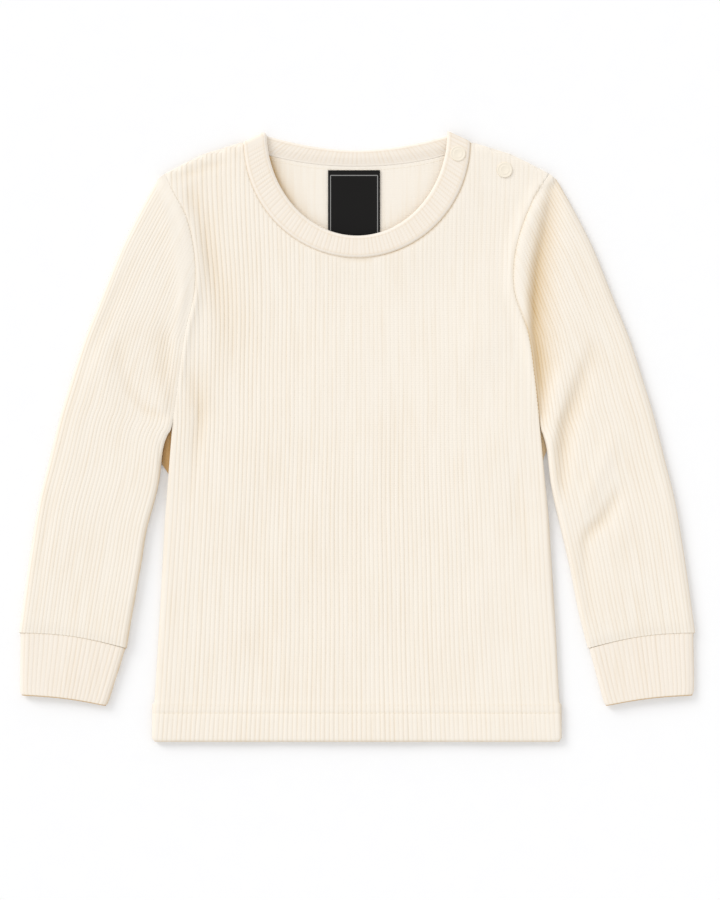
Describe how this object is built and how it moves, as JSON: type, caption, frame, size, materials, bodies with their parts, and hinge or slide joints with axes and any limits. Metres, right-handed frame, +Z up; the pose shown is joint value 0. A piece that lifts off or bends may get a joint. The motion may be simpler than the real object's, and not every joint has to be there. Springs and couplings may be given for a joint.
{
  "type": "thermal base layer top",
  "caption": "Child's long-sleeved rib-knit top with a crew neck, a snap opening on one shoulder and doubled cuffs, laid flat with its front up.",
  "frame": {"origin": "under the middle of the top, on the surface that it lies on", "axes": "+X across the chest towards the wearer's left sleeve, +Y from the hem to the neck, +Z up from the surface through the back to the front"},
  "size_m": [0.4466, 0.4031, 0.0088],
  "materials": {
    "body_knit": "matte cotton rib knit",
    "sleeve_knit": "matte cotton rib knit",
    "trim_knit": "matte doubled cotton rib knit",
    "label_weave": "woven satin",
    "snap_plastic": "satin moulded resin"
  },
  "bodies": {
    "root": {"back_panel": "body_knit", "front_panel": "body_knit", "sleeve_left": "sleeve_knit", "sleeve_right": "sleeve_knit", "cuff_left": "trim_knit", "cuff_right": "trim_knit", "neckband": "trim_knit", "label": "label_weave", "snap_neckband": "snap_plastic", "snap_shoulder": "snap_plastic"}
  },
  "joints": []
}
